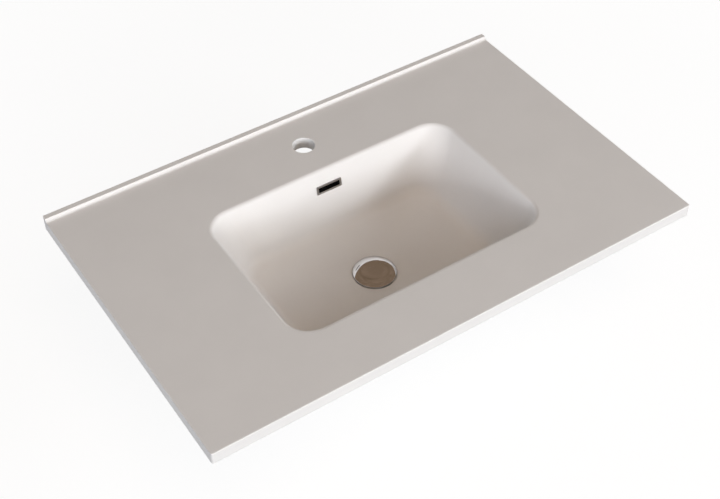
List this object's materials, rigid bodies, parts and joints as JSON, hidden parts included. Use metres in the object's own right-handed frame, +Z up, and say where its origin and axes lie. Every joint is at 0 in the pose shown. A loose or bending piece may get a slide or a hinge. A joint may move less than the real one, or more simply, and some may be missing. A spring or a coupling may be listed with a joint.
{
  "type": "vanity-top washbasin",
  "caption": "Flat rectangular vanity-top washbasin with an integral rounded bowl, a raised rear lip, a tap hole, a framed overflow slot and a push-open click waste.",
  "frame": {"origin": "on the slab's underside, on the centreline, in the middle of the strip along the wall that rests on the cabinet", "axes": "+X along the wall to the right seen from the front, +Y towards the wall, +Z up out of the slab"},
  "size_m": [0.8, 0.5, 0.1996],
  "materials": {
    "cast_marble": "satin",
    "chrome": "polished",
    "plain_brass": "satin",
    "spring_steel": "satin",
    "black_rubber": "matte",
    "grey_plastic": "satin",
    "white_acetal": "satin"
  },
  "bodies": {
    "basin": {"basin_top": "cast_marble", "overflow_duct": "grey_plastic", "overflow_trim": "chrome", "waste_body": "chrome", "waste_flange_seal": "black_rubber", "waste_cone_seal": "black_rubber", "waste_slip_washer": "grey_plastic", "waste_back_nut": "plain_brass", "click_cartridge": "plain_brass", "click_collar": "plain_brass", "click_spring": "spring_steel"},
    "plug": {"plug_cap": "chrome", "plug_seal": "black_rubber", "plug_stem": "plain_brass", "plug_lock_nut": "plain_brass", "click_plunger": "white_acetal"},
    "cam": {"click_cam": "white_acetal"}
  },
  "joints": [
    {"name": "plug_slide", "type": "slide", "parent": "basin", "child": "plug", "axis": [0, 0, 1], "range_m": [0, 0.009], "deforming": ["click_spring"]},
    {"name": "cam_turn", "type": "hinge", "parent": "plug", "child": "cam", "pos_m": [0, -0.243, -0.1215], "axis": [0, 0, 1], "range_deg": [0, 45]}
  ],
  "couplings": [
    {"joint": "cam_turn", "follows": "plug_slide", "rad_per_m": 87.2}
  ]
}
